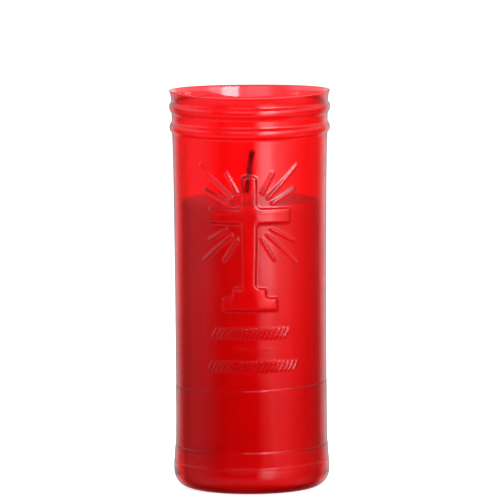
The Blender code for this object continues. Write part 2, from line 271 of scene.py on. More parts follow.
def soft_union(first, second, blend):
    near = np.maximum(blend - np.abs(first - second), 0.0) / blend
    return np.maximum(first, second) + near * near * blend * 0.25


def cross_inside(u, z):
    """How far inside the cross on its two-step base a point is."""
    half = 3.15 + 0.35 * smooth01((z - 95.0) / 20.0)           # narrows a little downwards
    middle = CROSS_U - 0.15 * smooth01((115.0 - z) / 20.0)
    upright = box_inside(u, z, centre=(middle, 113.0), half_size=(half, 28.0), corner=1.9)
    arm = box_inside(u, z, centre=(CROSS_U, 123.28), half_size=(18.55, 3.6), corner=0.9)
    upper_step = box_inside(u, z, centre=(-0.5, 88.6), half_size=(7.45, 3.1), corner=0.8)
    lower_step = box_inside(u, z, centre=(-0.25, 84.4), half_size=(12.35, 3.15), corner=0.9)
    inside = soft_union(upright, arm, blend=2.6)
    inside = soft_union(inside, upper_step, blend=2.4)
    return soft_union(inside, lower_step, blend=1.8)


def ray_distance(u, z, u0, z0, u1, z1):
    run, rise = u1 - u0, z1 - z0
    t = np.clip(((u - u0) * run + (z - z0) * rise) / (run * run + rise * rise), 0, 1)
    return np.hypot(u - u0 - t * run, z - z0 - t * rise)


def cable(u, z, middle_z, count, shift, soft):
    """A row of leaning strands laid side by side like a rope, gently S-shaped."""
    lean, half = 1.1, 2.7
    t = np.clip((z - middle_z) / half, -1.0, 1.0)
    first = (shift - count + 1) / 2 * STRAND_STEP
    upright_u = u - lean * np.sin(t * math.pi / 2)
    strand = np.clip(np.round((upright_u - first) / STRAND_STEP), 0, count - 1)
    across = np.abs(upright_u - first - strand * STRAND_STEP)
    end = smooth01((half - np.abs(z - middle_z)) / 0.9)
    return hump(across / (0.92 + 0.6 * soft)) * end


def rule(u, z, middle_z, height, half_width, half_length, soft):
    """A fine level line between the strand rows, fading at both ends."""
    across = hump(np.abs(z - middle_z) / (half_width + soft))
    return height * across * smooth01((half_length - np.abs(u - 1.0)) / 3.0)


def relief(u, z, soft=0.0, strand_height=0.62):
    """Height of the relief. soft widens every slope, as on the inside of the blown wall."""
    height = np.zeros(np.broadcast(u, z).shape)
    near = (np.abs(u) < 26.0) & (z > 50.0) & (z < 149.0)
    if not near.any():
        return height
    u, z = (np.broadcast_to(a, height.shape)[near] for a in (u, z))
    inside = cross_inside(u, z)
    foot, slope = 0.25 + soft, 1.05 + 0.8 * soft
    raised = 0.84 * smooth01((inside + foot) / (slope + foot))
    raised += 0.05 * smooth01((inside - slope) / 1.6)
    # a shallow channel along the face of each arm
    out = np.abs(u - CROSS_U)
    across = 0.06 * smooth01((1.72 - np.abs(z - 122.92)) / 0.9)
    raised -= across * smooth01((out - 3.4) / 1.5) * smooth01((17.4 - out) / 1.5)
    for ray in RAYS:
        ridge = hump(ray_distance(u, z, *ray) / (1.08 + soft)) ** 0.8
        raised = np.maximum(raised, 0.62 * ridge)
    band = np.zeros_like(u)
    for row in CABLES:
        band = np.maximum(band, strand_height * cable(u, z, *row, soft))
    rules = rule(u, z, middle_z=64.6, height=0.13, half_width=0.6, half_length=9.5, soft=soft)
    rules += rule(u, z, middle_z=63.2, height=0.10, half_width=0.5, half_length=6.5, soft=soft)
    height[near] = np.maximum(raised, np.maximum(band, rules))
    return height


# =====================================================================================
# container: marks read by the plastic's material, all 0 to 1, mostly masks for painted shade and a
# painted glint
# =====================================================================================


def witness_line_shade_and_glint(z, theta):
    """Mask of the two witness lines and the right parting line between them, for painted dark lines
    and a painted glint.
    """
    high, low = witness_heights(theta)
    mark = np.maximum(hump((z - high + 0.15) / 0.8), hump((z - low + 0.15) / 0.8))
    seam = hump((theta - math.radians(84.0)) / math.radians(5.0))
    seam = seam * smooth01((high - z) / 1.0) * smooth01((z - low) / 1.0)
    return np.maximum(mark, seam)


def relief_edge_painted_shade(z, theta):
    """Painted shade along the relief's edges, from how steep the relief is at a point, more on
    slopes that face right or down.
    """
    u = theta * BODY_R
    delta = 0.12
    slope_u = (relief(u + delta, z) - relief(u - delta, z)) / (2 * delta)
    slope_z = (relief(u, z + delta) - relief(u, z - delta)) / (2 * delta)
    steep = np.hypot(slope_u, slope_z)
    turn = np.clip((0.8 * -slope_u + 0.6 * slope_z) / np.maximum(steep, 1e-6), 0.0, 1.0)
    mark = smooth01((steep - 0.18) / 0.55) * (0.35 + 0.65 * turn)
    # the painted shade is weaker above the wax, weakest along the top of the upright
    fade = 0.12 + 0.72 * smooth01((5.5 - np.abs(u)) / 1.5)
    return mark * (1.0 - fade * smooth01((z - 126.0) / 4.0))


def crease_painted_shade(z, theta):
    """Painted shade along the close corners above and below the beads, except at the back."""
    mark = np.zeros(np.broadcast(z, theta).shape)
    for crease, depth in ((170.7, 0.45), (166.8, 0.9), (161.4, 0.7), (157.4, 1.0)):
        line = hump((z + BEAD_TILT * np.cos(theta) - crease) / 0.75)
        mark = np.maximum(mark, depth * line)
    return mark * smooth01((np.cos(theta) + 0.25) / 0.25)


# =====================================================================================
# container: mesh
# =====================================================================================


def column_angles():
    """Angles round the container, close across the relief and at the two parting lines."""
    fine = np.radians(np.linspace(-41.0, 41.0, 101))
    step = fine[1] - fine[0]
    angle = fine[-1]
    coarse = []
    while angle < math.pi - 1e-6:
        step = min(math.radians(3.6), step * 1.35)
        angle += step
        coarse.append(angle)
    coarse = np.array(coarse)
    # shrink the steps so that the last one falls on the back
    scale = (math.pi - fine[-1]) / (coarse[-1] - fine[-1])
    coarse = fine[-1] + (coarse - fine[-1]) * scale
    seam = math.pi / 2
    side = [a for a in coarse[:-1] if abs(a - seam) > math.radians(1.6)]
    side += [seam + math.radians(d) for d in (-1.5, -0.8, -0.35, 0.0, 0.35, 0.8, 1.5)]
    side = sorted(side)
    return np.array([-a for a in reversed(side)] + list(fine) + side + [math.pi])


THETA = column_angles()
COLUMNS = len(THETA)

FLOOR_INSIDE_Z = 2.50
UNDERSIDE_Z = 1.63
PINCH_DEPTH = 0.35
CORNER_Z = 7.35          # centre height of the round between wall and bottom
OUTER_WALL_END = 8.0

# inside of the bottom, from the middle outwards: (radius, height)
FLOOR_INSIDE = (
    (2.0, FLOOR_INSIDE_Z), (6.0, FLOOR_INSIDE_Z), (10.0, FLOOR_INSIDE_Z), (14.0, 2.49),
    (16.6, 2.44), (18.2, 2.20), (19.4, 1.60), (20.6, 1.02), (22.0, 0.84), (24.2, 0.80),
    (26.2, 0.80),
)
# foot ring and pushed-up bottom, from the outside inwards: (radius, height)
UNDERSIDE = (
    (25.2, 0.0), (23.4, 0.0), (21.8, 0.02), (20.7, 0.14), (19.9, 0.50), (19.2, 1.02),
    (18.3, 1.42), (17.0, 1.58), (14.0, 1.62), (10.0, UNDERSIDE_Z), (6.0, UNDERSIDE_Z),
    (2.0, UNDERSIDE_Z),
)
# ring heights on each side of the wall: (from, to, largest step)
INNER_SPANS = ((8.2, 52.0, 1.6), (52.0, 148.0, 1.60), (148.0, 174.4, 0.75))
INNER_EXTRAS = [
    174.40, 174.78, 44.6, 45.2, 45.8, 46.4, 47.0, 47.6, 17.6, 18.4, 19.2, 20.0, 20.8,
]
OUTER_SPANS = ((174.45, 150.0, 0.48), (150.0, 52.0, 0.52), (52.0, OUTER_WALL_END, 1.15))
# closer rings at the cross's arms, the witness lines and the low bead: (from, to, step)
OUTER_CLOSE = ((119.4, 127.2, 0.34), (44.4, 48.0, 0.28), (17.9, 20.5, 0.26), (10.4, 13.2, 0.28))


def lathe(profile):
    return [polar(radius, THETA, z) for radius, z in profile]


def inner_ring(z):
    # towards the back the blown inside follows the upper bead only faintly,
    # and runs on from its crest in a steady flare
    back = smooth01((-np.cos(THETA) - 0.05) / 0.5)
    crest = HIGH_BEAD_Z - BEAD_TILT * np.cos(THETA)
    radius = wall_radius(z) + beads(z, THETA, upper_share=0.95 - 0.83 * back) * 0.96
    flare = wall_radius(crest) + 0.117 + 0.085 * (z - crest)
    radius = radius + back * np.where(z > crest, np.maximum(flare - radius, 0.0), 0.0)
    radius = radius + 0.5 * witness_steps(z, THETA) + 0.7 * waviness(z + 9.0, THETA)
    raised = relief(THETA * BODY_R, z, soft=0.22, strand_height=0.25)
    return polar(radius + 0.80 * raised - WALL, THETA, z + lip_rise(THETA, z))


def outer_ring(z):
    radius = wall_radius(z) + beads(z, THETA) + witness_steps(z, THETA) + waviness(z, THETA)
    radius = radius + seam_ridge(THETA) + relief(THETA * BODY_R, z)
    return polar(radius, THETA, z + lip_rise(THETA, z))


def inside_rings():
    """From the middle of the floor outwards, then up the inner wall."""
    corner = arc(centre=(26.8, CORNER_Z), reach=(6.55, 6.55), degrees=np.linspace(-82, -8, 9))
    levels = [z for span in INNER_SPANS for z in spaced(*span)] + INNER_EXTRAS
    levels = sorted(set(round(z, 3) for z in levels))
    return lathe(FLOOR_INSIDE) + lathe(corner) + [inner_ring(z) for z in levels]


def lip_rings():
    """The rounded, trimmed lip, from the inside outwards."""
    outer = wall_radius(LIP_Z)
    inner = outer - WALL
    rise = lip_rise(THETA, LIP_Z)
    profile = ((inner + 0.05, 0.07), (inner + 0.14, 0.0), (outer - 0.14, 0.0), (outer - 0.04, 0.07))
    return [polar(radius, THETA, LIP_Z - drop + rise) for radius, drop in profile]


def outer_wall_rings():
    """From the lip down to the round above the foot."""
    levels = [174.80] + [z for span in OUTER_SPANS for z in spaced(*span)] + [OUTER_WALL_END]
    for low, high, step in OUTER_CLOSE:
        levels = [z for z in levels if not low <= z <= high] + spaced(high, low, step)
    return [outer_ring(z) for z in sorted(set(round(z, 3) for z in levels), reverse=True)]


def foot_rings():
    """The round between wall and foot, then the bottom with its pinch-off seam along X."""
    flat = 26.7
    wall = wall_radius(OUTER_WALL_END) + witness_steps(OUTER_WALL_END, THETA)
    reach = (float(np.mean(wall)) - flat, CORNER_Z)
    rings = lathe(arc((flat, CORNER_Z), reach, degrees=np.linspace(0, -90, 17)[1:]))
    for radius, z in UNDERSIDE:
        ring = polar(radius, THETA, z)
        seam = PINCH_DEPTH * hump(np.abs(ring[:, 1]) / 0.9) * smooth01((17.0 - radius) / 1.5)
        ring[:, 2] -= seam * smooth01((12.5 - np.abs(ring[:, 0])) / 2.0)
        rings.append(ring)
    return rings


def build_shell(material):
    inside = inside_rings()
    outside = np.stack(lip_rings() + outer_wall_rings() + foot_rings())
    rings = np.concatenate([np.stack(inside), outside])
    poles = ((0, 0, FLOOR_INSIDE_Z), (0, 0, UNDERSIDE_Z - PINCH_DEPTH))
    obj = mesh_object("container_body", [ring_solid(rings, poles)], material)

    outside_start, first_pole = len(inside) * COLUMNS, len(rings) * COLUMNS
    inner_side = np.zeros(first_pole + 2, np.float32)
    inner_side[:outside_start] = 1.0
    inner_side[first_pole] = 1.0
    marks = [("inner_side", inner_side)]
    z = outside[:, :, 2]
    theta = np.broadcast_to(THETA[None, :], z.shape)
    rim = np.zeros(z.shape)
    rim[:5] = 1.0                   # the lip's rings and the first one below it
    # line, foot, edge and crease are masks for painted shade, line also for a painted glint
    for name, values in (
        ("line", witness_line_shade_and_glint(z, theta)),
        ("foot", smooth01((5.5 - z) / 4.0)),
        ("edge", relief_edge_painted_shade(z, theta)),
        ("crease", crease_painted_shade(z, theta)),
        ("rim", rim),
    ):
        mark = np.zeros(first_pole + 2, np.float32)
        mark[outside_start:first_pole] = values.ravel()
        marks.append((name, mark))
    for name, mark in marks:
        layer = obj.data.attributes.new(name, "FLOAT", "POINT")
        layer.data.foreach_set("value", mark)
    return obj


# =====================================================================================
# candle
# =====================================================================================
CANDLE_Z = 2.8           # underside of the wax and of the sustainer
WAX_R = 30.25
WAX_TOP = 127.35
WICK_TOP = 149.0
WICK_START = 3.1


def wick_x(z):
    """Sideways place of the wick: it leans left inside the wax and curves right above it."""
    z = np.asarray(z, float)
    root_z, root_x, tip_x = 127.0, -1.75, 1.15
    low = root_x * smooth01((z - 14.0) / (root_z - 14.0))
    t = np.clip((z - root_z) / (WICK_TOP - root_z), 0, 1.05)
    high = root_x + (tip_x - root_x) * (0.25 * t + 0.75 * t ** 1.5)
    return np.where(z <= root_z, low, high)


# underside of the wax, with the recess that clears the sustainer: (radius, height)
WAX_UNDERSIDE = (
    (27.0, CANDLE_Z), (24.0, CANDLE_Z), (20.0, CANDLE_Z), (16.0, CANDLE_Z), (12.5, CANDLE_Z),
    (10.9, CANDLE_Z), (10.5, 2.95), (10.35, 3.35), (10.1, 3.62), (8.0, 3.68), (5.5, 3.68),
    (3.6, 3.68), (2.9, 3.95), (2.35, 4.6), (2.27, 6.0), (2.25, 10.9), (2.1, 11.2), (1.7, 11.3),
)


def wax_swell(x, y):
    """Slight unevenness of the wax's top."""
    return (0.07 * np.sin(0.42 * x + 0.9) * np.sin(0.37 * y + 0.2)
            + 0.05 * np.sin(0.9 * x - 0.7 * y))


def wax_top(radius, x, y):
    """A mound drawn up round the wick, then a shallow dish that rises again to the rim."""
    from_wick = np.hypot(x - float(wick_x(127.4)), y)
    z = WAX_TOP + 3.3 * np.exp(-((np.maximum(from_wick - 1.2, 0)) / 2.6) ** 1.5)
    z += -0.35 * np.exp(-((from_wick - 11.0) / 6.5) ** 2) + 0.12 * smooth01((radius - 22.0) / 6.0)
    z += wax_swell(x, y)
    z += 0.03 * np.sin(2.1 * x + 0.5) * np.sin(1.8 * y + 1.0)
    return z


def build_wax(material):
    """The wax cylinder with its wick channel, mound, rounded edges and sustainer recess."""
    count = 144
    angles = np.linspace(-math.pi, math.pi, count, endpoint=False) + math.pi / count
    rings = []

    def add(radius, z, centre_x=0.0):
        rings.append(polar(radius, angles, z) + (centre_x, 0.0, 0.0))
        return rings[-1]

    # the wick's channel upwards, from above the sustainer's neck
    for z in spaced(11.3, 124.0, 4.0) + spaced(124.0, 130.0, 0.75):
        add(1.36, z, centre_x=float(wick_x(z)))
    # over the mound and outwards; the rings' centre slides from the wick to the candle's axis
    for radius in (*np.linspace(1.42, 8.0, 16), *np.linspace(8.6, 28.2, 32)):
        slide = 1 - smooth01((radius - 1.42) / 20.0)
        ring = add(radius, 0.0, centre_x=float(wick_x(130.3)) * slide)
        ring[:, 2] = wax_top(radius, ring[:, 0], ring[:, 1])
    # rounded upper edge
    edge = 1.5
    for angle in np.radians(np.linspace(78, 0, 9)):
        z = WAX_TOP + 0.12 - edge + edge * math.sin(angle)
        ring = add(WAX_R - edge + edge * math.cos(angle), z)
        ring[:, 2] += wax_swell(ring[:, 0], ring[:, 1]) * math.sin(angle)
    # side, a little out of round
    for z in spaced(125.4, 6.0, 2.4) + [6.0]:
        lobes = (0.05 * np.sin(3 * angles + 0.6) + 0.04 * np.sin(5 * angles + 1.2 + 0.09 * z)
                 + 0.03 * np.sin(8 * angles - 0.05 * z))
        add(WAX_R + lobes * smooth01((125.9 - z) / 8.0) * 0.6, z)
    # rounded lower edge, then the underside
    edge = 1.2
    lower_edge = arc((WAX_R - edge, CANDLE_Z + edge), (edge, edge), np.linspace(-12, -90, 8))
    for radius, z in (*lower_edge, *WAX_UNDERSIDE):
        add(radius, z)
    return mesh_object("candle_wax", [ring_solid(np.stack(rings))], material)


def build_braid(material):
    """The wick's braid: eight cotton yarns, four each way round, passing over and under."""
    end, pitch, points_per_turn = 148.9, 7.2, 14
    count = int((end - WICK_START) / pitch * points_per_turn) + 1
    rng = np.random.default_rng(7)
    yarns = []
    for way in (1, -1):
        for k in range(4):
            z = np.linspace(WICK_START, end - rng.uniform(0.0, 0.9), count)
            start = k * math.pi / 2 + (0.0 if way > 0 else math.pi / 4)
            angle = way * 2 * math.pi * (z - WICK_START) / pitch + start
            over = np.cos(4 * angle * way + (0 if way > 0 else math.pi) + k * math.pi)
            splay = smooth01((z - 146.3) / 2.6)
            radius = 0.76 + 0.08 * over + 0.22 * splay * (1 + 0.5 * math.sin(3.1 * k + way))
            x = wick_x(z) + radius * np.cos(angle)
            y = radius * np.sin(angle)
            thickness = 0.40 * (1 - 0.35 * smooth01((z - 147.6) / 1.2))
            yarns.append(tube(np.stack([x, y, z], -1), thickness, sides=6))
    return mesh_object("wick_braid", yarns, material)


def build_core(material):
    """The core: two fine threads twisted together."""
    offset, pitch = 0.12, 1.9
    z = np.linspace(WICK_START, 149.25, 420)
    threads = []
    for k in range(2):
        angle = 2 * math.pi * z / pitch + k * math.pi
        path = np.stack([wick_x(z) + offset * np.cos(angle), offset * np.sin(angle), z], -1)
        threads.append(tube(path, 0.125, sides=5))
    return mesh_object("wick_core_thread", threads, material)


SHEET = 0.30             # tinplate thickness
# heights here are above CANDLE_Z: (radius, height)
NECK_MOUTH = ((1.50, 8.05), (1.60, 8.15), (1.80, 8.15), (1.93, 8.02))
# from the neck's root out over the disc and its bead, round the rim and back below
DISC = (
    (1.96, 1.0), (2.08, 0.66), (2.35, 0.42), (2.8, 0.31), (4.6, SHEET), (5.7, SHEET),
    (6.1, SHEET + 0.07), (6.55, SHEET + 0.18), (7.0, SHEET + 0.22), (7.45, SHEET + 0.18),
    (7.9, SHEET + 0.07), (8.3, SHEET), (9.3, SHEET), (9.75, SHEET + 0.05),
    (9.95, SHEET + 0.02), (10.0, 0.2), (9.95, 0.05), (9.8, 0.0), (9.2, 0.0), (8.2, 0.0),
    (7.8, 0.06), (7.4, 0.15), (7.0, 0.19), (6.6, 0.15), (6.2, 0.06), (5.8, 0.0), (4.6, 0.0),
    (2.9, 0.0), (2.2, 0.05), (1.85, 0.25), (1.70, 0.6), (1.64, 1.0),
)


def build_sustainer(material):
    """The stamped disc with its bead and rim, and the neck crimped in four places."""
    angles = np.linspace(-math.pi, math.pi, 96, endpoint=False)
    dents = np.clip(np.cos(4 * angles), 0, 1) ** 3

    def plain(profile):
        return [polar(radius, angles, CANDLE_Z + height) for radius, height in profile]

    def crimped(radius, heights):
        return [
            polar(radius - 0.16 * hump((height - 5.6) / 2.2) * dents, angles, CANDLE_Z + height)
            for height in heights
        ]

    rings = plain(NECK_MOUTH) + crimped(1.93, np.linspace(7.7, 1.4, 14))
    rings += plain(DISC) + crimped(1.62, np.linspace(1.4, 7.7, 14))
    return mesh_object("sustainer_disc", [ring_solid(np.stack(rings))], material)


# =====================================================================================
# shader node helper
# =====================================================================================


class Nodes:
    """Builds the node tree of a material or world. Values may be numbers, tuples or sockets."""

    def __init__(self, owner):
        owner.use_nodes = True
        self.tree = owner.node_tree
        self.tree.nodes.clear()

    def add(self, kind, inputs=None, **settings):
        node = self.tree.nodes.new(kind)
        for key, value in settings.items():
            setattr(node, key, value)
        for key, value in (inputs or {}).items():
            socket = node.inputs[key]
            if isinstance(value, bpy.types.NodeSocket):
                self.tree.links.new(value, socket)
            elif socket.type == "RGBA":
                socket.default_value = (*value, 1.0)
            else:
                socket.default_value = value
        return node

    def position(self):
        return self.add("ShaderNodeNewGeometry").outputs["Position"]

    def attribute(self, name):
        return self.add("ShaderNodeAttribute", attribute_name=name).outputs["Fac"]

    def xyz(self, vector):
        return self.add("ShaderNodeSeparateXYZ", {0: vector}).outputs

    def maths(self, operation, *values):
        inputs = dict(enumerate(values))
        return self.add("ShaderNodeMath", inputs, operation=operation).outputs[0]

    def chain(self, operation, first, *others):
        for other in others:
            first = self.maths(operation, first, other)
        return first

    def times(self, *values):
        return self.chain("MULTIPLY", *values)

    def plus(self, *values):
        return self.chain("ADD", *values)

    def highest(self, first, second):
        return self.maths("MAXIMUM", first, second)

    def less(self, value, share=None):
        """1 - value, or 1 - value * share."""
        if share is not None:
            value = self.times(value, share)
        return self.maths("SUBTRACT", 1.0, value)

    def vector(self, operation, *values, output="Vector"):
        inputs = dict(enumerate(values))
        return self.add("ShaderNodeVectorMath", inputs, operation=operation).outputs[output]

    def dot(self, first, second):
        return self.vector("DOT_PRODUCT", first, second, output="Value")

    def ramp(self, value, span, to=(0.0, 1.0), shape="LINEAR"):
        """Maps span onto the range to, held level outside it."""
        inputs = {"From Min": span[0], "From Max": span[1], "To Min": to[0], "To Max": to[1]}
        inputs["Value"] = value
        return self.add("ShaderNodeMapRange", inputs, interpolation_type=shape).outputs[0]

    def smooth(self, value, span, to=(0.0, 1.0)):
        return self.ramp(value, span, to, shape="SMOOTHSTEP")

    def curve(self, value, stops, scale=1.0):
        """A value looked up along straight lines between stops (position 0..1, value)."""
        node = self.add("ShaderNodeValToRGB", {0: value})
        node.color_ramp.interpolation = "LINEAR"
        elements = node.color_ramp.elements
        elements.remove(elements[-1])
        for i, (position, level) in enumerate(stops):
            element = elements[0] if i == 0 else elements.new(position)
            element.position = position
            element.color = (*[level / scale] * 3, 1.0)
        return node.outputs[0] if scale == 1.0 else self.times(node.outputs[0], scale)

    def mix(self, factor, start, end):
        inputs = {0: factor, 6: start, 7: end}
        return self.add("ShaderNodeMix", inputs, data_type="RGBA").outputs[2]

    def mix_shader(self, factor, start, end):
        return self.add("ShaderNodeMixShader", {0: factor, 1: start, 2: end}).outputs[0]

    def noise(self, coords, scale, detail=2.0, roughness=0.5, stretch=None):
        if stretch is not None:
            mapping = {"Vector": coords, "Scale": stretch}
            coords = self.add("ShaderNodeMapping", mapping).outputs[0]
        inputs = {"Vector": coords, "Scale": scale, "Detail": detail, "Roughness": roughness}
        return self.add("ShaderNodeTexNoise", inputs).outputs["Fac"]

    def cells(self, coords, scale):
        inputs = {"Vector": coords, "Scale": scale}
        return self.add("ShaderNodeTexVoronoi", inputs, feature="F1").outputs["Distance"]

    def bump(self, height, strength, distance, normal=None):
        inputs = {"Height": height, "Strength": strength, "Distance": distance}
        if normal is not None:
            inputs["Normal"] = normal
        return self.add("ShaderNodeBump", inputs).outputs[0]

    def principled(self, inputs):
        return self.add("ShaderNodeBsdfPrincipled", inputs).outputs[0]

    def surface(self, shader):
        self.add("ShaderNodeOutputMaterial", {"Surface": shader})


def new_material(name):
    material = bpy.data.materials.new(name)
    return material, Nodes(material)


# =====================================================================================
# red plastic
# =====================================================================================
BLACK = (0.0, 0.0, 0.0)
WHITE = (1.0, 1.0, 1.0)

# curves over height: (height / CURVE_HEIGHT, value)
CURVE_HEIGHT = 0.18
# painted shade at the limbs: how much darker the wall turns where it is seen aslant, over height;
# partly the longer path through the tinted wall
SLANT_PAINTED_SHADE = (
    (0.0, 0.10), (0.05, 0.15), (0.09, 0.38), (0.40, 0.38), (0.50, 0.27), (0.66, 0.19),
    (0.80, 0.15), (0.84, 0.0), (1.0, 0.0),
)
# painted shade: the wall is darker on the lower body
LOW_PAINTED_SHADE = ((0.0, 0.0), (0.05, 0.10), (0.22, 0.11), (0.33, 0.05), (0.44, 0.0), (1.0, 0.0))
# painted shade on the reflections: how strongly the wall mirrors, over height, at the sides and at
# the front
SIDE_SHADED_GLOSS = (
    (0.0, 0.40), (0.02, 0.40), (0.045, 0.50), (0.060, 0.45), (0.068, 0.24), (0.095, 0.24),
    (0.13, 0.38), (0.37, 0.46), (0.47, 0.66), (0.55, 0.85), (0.60, 0.80), (0.66, 0.80),
    (0.70, 1.0), (1.0, 1.0),
)
FRONT_SHADED_GLOSS = (
    (0.0, 0.30), (0.02, 0.30), (0.045, 0.50), (0.062, 0.60), (0.070, 0.06), (0.17, 0.05),
    (0.27, 0.10), (0.37, 0.19), (0.47, 0.32), (0.53, 0.62), (0.58, 0.72), (0.66, 0.76),
    (0.70, 1.0), (1.0, 1.0),
)


def height_share(nodes, part):
    return nodes.maths("DIVIDE", part["Z"], CURVE_HEIGHT)


def plastic_clear_share_with_painted_shade(nodes, pos, part, aslant, line, crease):
    """How clear the wall is, with painted shade: darker where it is seen aslant, partly for the
    longer path through the tinted wall, along the witness lines, the relief's edges and the bead
    creases, at the foot and on the lower body.
    """
    # painted shade at the limbs, where the wall is seen aslant
    slant_painted_shade = nodes.curve(height_share(nodes, part), SLANT_PAINTED_SHADE)
    slant_shade = nodes.times(nodes.smooth(aslant, span=(0.42, 0.72)), slant_painted_shade)
    # painted shade: dark witness lines and parting line where the wall is seen aslant
    witness_line_shade = nodes.times(line, nodes.smooth(aslant, span=(0.05, 0.24)), 0.66)
    # painted shade on the relief's edges, only where the wall is seen from the front
    outward = nodes.vector("NORMALIZE", nodes.vector("MULTIPLY", pos, (1.0, 1.0, 0.0)))
    toward = nodes.dot(outward, nodes.add("ShaderNodeNewGeometry").outputs["Incoming"])
    edge = nodes.times(nodes.attribute("edge"), nodes.smooth(toward, span=(0.25, 0.65)))
    return nodes.times(
        nodes.less(slant_shade),
        nodes.less(witness_line_shade),
        # painted shade at the foot, standing in for the table's shadow seen through it
        nodes.less(nodes.attribute("foot"), share=0.62),
        nodes.less(edge, share=0.62),
        # painted shade along the bead creases
        nodes.less(crease, share=0.45),
        # painted shade on the lower body
        nodes.less(nodes.curve(height_share(nodes, part), LOW_PAINTED_SHADE)),
    )


def plastic_tint(nodes, pos, clear_share_with_shade, rim):
    """Slightly uneven dye and wall thickness, in long vertical flow streaks, darkened by the painted
    shade.
    """
    streak = nodes.noise(pos, scale=60.0, detail=3.0, roughness=0.55, stretch=(1.0, 1.0, 0.12))
    cloud = nodes.noise(pos, scale=28.0)
    thread = nodes.noise(pos, scale=310.0, stretch=(1.0, 1.0, 0.03))
    uneven = nodes.plus(
        nodes.times(streak, 0.35), nodes.times(cloud, 0.25), nodes.times(thread, 0.40))
    strength = nodes.ramp(uneven, span=(0.36, 0.64))
    tint = nodes.mix(strength, start=(0.970, 0.038, 0.046), end=(0.900, 0.028, 0.035))
    # painted shade: the tint goes towards black where the wall is painted darker
    tint = nodes.mix(nodes.less(clear_share_with_shade), start=tint, end=BLACK)
    # the trimmed lip is matt and pale
    return nodes.mix(rim, start=tint, end=(0.92, 0.045, 0.06))


def plastic_roughness(nodes, pos, inner, rim):
    """A softly polished outside with faint scuffs, a glossier inside and a matt lip."""
    fine = nodes.noise(pos, scale=900.0, roughness=0.6)
    scuff = nodes.noise(pos, scale=210.0, detail=4.0, roughness=0.65, stretch=(1.0, 1.0, 0.35))
    scuffed = nodes.times(nodes.ramp(scuff, span=(0.45, 0.75)), 0.10)
    rough = nodes.plus(0.105, scuffed, nodes.times(fine, 0.02))
    rough = nodes.times(rough, nodes.ramp(inner, span=(0.0, 1.0), to=(1.0, 0.35)))
    return nodes.plus(rough, nodes.times(rim, 0.45))


def plastic_gloss_shade_and_glint(nodes, part, line, crease, inner):
    """Reflection strength, with painted shade on the reflections: weaker on the lower body, most at
    the front, full higher up and inside.
    """
    share = height_share(nodes, part)
    sides = nodes.curve(share, SIDE_SHADED_GLOSS)
    front = nodes.curve(share, FRONT_SHADED_GLOSS)
    bearing = nodes.maths("ARCTAN2", part["X"], nodes.times(part["Y"], -1.0))
    bearing = nodes.maths("DEGREES", bearing)
    to_side = nodes.smooth(nodes.maths("ABSOLUTE", bearing), span=(10.0, 29.0))
    gloss = nodes.plus(front, nodes.times(to_side, nodes.maths("SUBTRACT", sides, front)))
    # painted shade on the reflections along the bead creases
    gloss = nodes.times(gloss, nodes.less(crease, share=0.6))
    # a painted glint: the witness lines mirror strongly in a narrow patch at the front
    patch = nodes.times(
        nodes.smooth(bearing, span=(-8.0, -4.0), to=(0.0, 0.9)),
        nodes.smooth(bearing, span=(8.0, 14.0), to=(1.0, 0.35)),
        nodes.smooth(bearing, span=(24.0, 36.0), to=(1.0, 0.0)),
    )
    gloss = nodes.highest(gloss, nodes.times(line, patch))
    gloss = nodes.highest(gloss, inner)
    return nodes.add("ShaderNodeCombineColor", {i: gloss for i in range(3)}).outputs[0]


def red_plastic():
    material, nodes = new_material("red_clear_plastic_moulded")
    pos = nodes.position()
    part = nodes.xyz(nodes.add("ShaderNodeTexCoord").outputs["Object"])
    aslant = nodes.add("ShaderNodeLayerWeight", {"Blend": 0.5}).outputs["Facing"]
    inner, line, crease, rim = (
        nodes.attribute(name) for name in ("inner_side", "line", "crease", "rim"))

    clear_share_with_shade = plastic_clear_share_with_painted_shade(nodes, pos, part, aslant, line, crease)
    peel = nodes.noise(pos, scale=160.0)
    ripple = nodes.noise(pos, scale=55.0, stretch=(1.0, 1.0, 0.25))
    normal = nodes.bump(ripple, strength=0.10, distance=0.0009)
    normal = nodes.bump(peel, strength=0.06, distance=0.0004, normal=normal)
    shader = nodes.principled({
        "IOR": 1.50,
        "Transmission Weight": nodes.less(rim, share=0.85),
        # the painted shade of the wall comes in through this tint
        "Base Color": plastic_tint(nodes, pos, clear_share_with_shade, rim),
        "Roughness": plastic_roughness(nodes, pos, inner, rim),
        # painted shade and a painted glint on the reflections
        "Specular Tint": plastic_gloss_shade_and_glint(nodes, part, line, crease, inner),
        # inside the mouth the wall carries a polished skin
        "Coat Weight": nodes.times(inner, nodes.smooth(part["Z"], span=(0.160, 0.168))),
        "Coat Roughness": 0.02,
        "Normal": normal,
    })

    # light from the lamps passes straight through the wall, tinted
    slant = nodes.times(nodes.maths("POWER", aslant, 0.6), 0.7)
    lamp_tint = nodes.mix(slant, start=(1.158, 0.156, 0.180), end=BLACK)
    clear = nodes.add("ShaderNodeBsdfTransparent", {"Color": lamp_tint}).outputs[0]
    path = nodes.add("ShaderNodeLightPath").outputs
    lamp = nodes.highest(path["Is Shadow Ray"], path["Is Diffuse Ray"])
    nodes.surface(nodes.mix_shader(lamp, shader, clear))
    material.diffuse_color = (0.8, 0.02, 0.02, 0.6)
    return material


# =====================================================================================
# candle materials
# =====================================================================================


